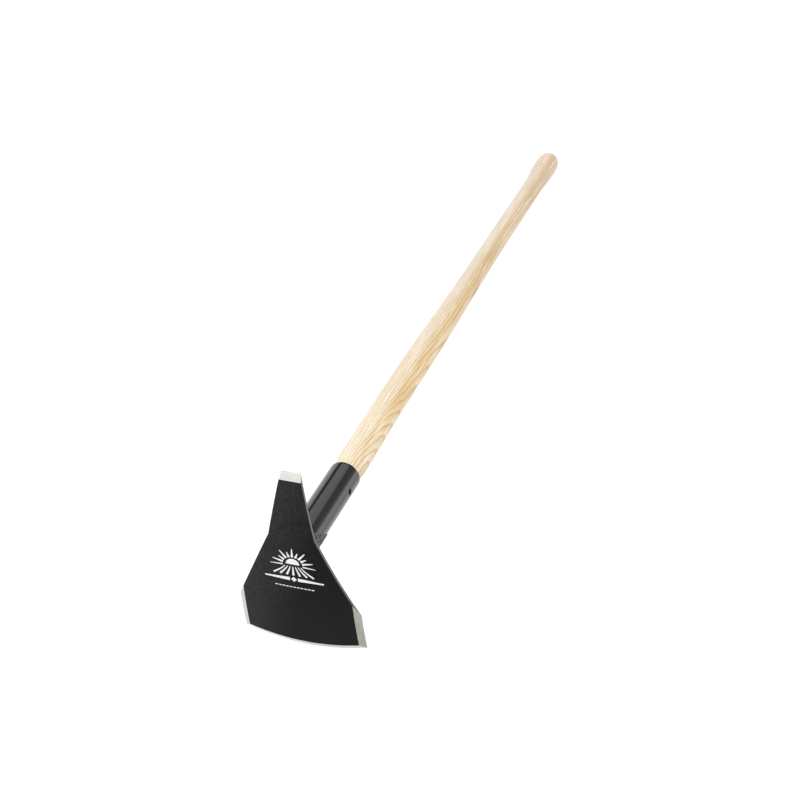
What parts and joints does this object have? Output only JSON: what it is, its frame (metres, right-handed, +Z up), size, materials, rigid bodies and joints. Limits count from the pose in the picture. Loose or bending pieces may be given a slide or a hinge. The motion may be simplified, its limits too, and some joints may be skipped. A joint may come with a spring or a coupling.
{
  "type": "draw hoe",
  "caption": "Heavy draw hoe: dished black steel blade with a ground curved edge and a chisel tip, welded socket tube and a turned ash handle.",
  "frame": {"origin": "middle of the footprint on the ground, with the hoe laid down on the middle of its curved edge and on the butt of its handle", "axes": "+X across the blade, to the right seen from its convex face; +Y from the blade to the handle's butt; +Z up"},
  "size_m": [0.1708, 1.254, 0.2778],
  "materials": {
    "blade_black": "satin black paint on steel, edges ground bare",
    "socket_black": "gloss black paint",
    "weld_metal": "rough weld metal under thin paint",
    "ash_wood": "clear lacquered ash",
    "screw_black": "black oxide",
    "ground_steel": "ground steel bevels"
  },
  "bodies": {
    "root": {"blade": "blade_black", "socket_tube": "socket_black", "weld_bead": "weld_metal", "handle": "ash_wood", "handle_screw": "screw_black"}
  },
  "joints": []
}
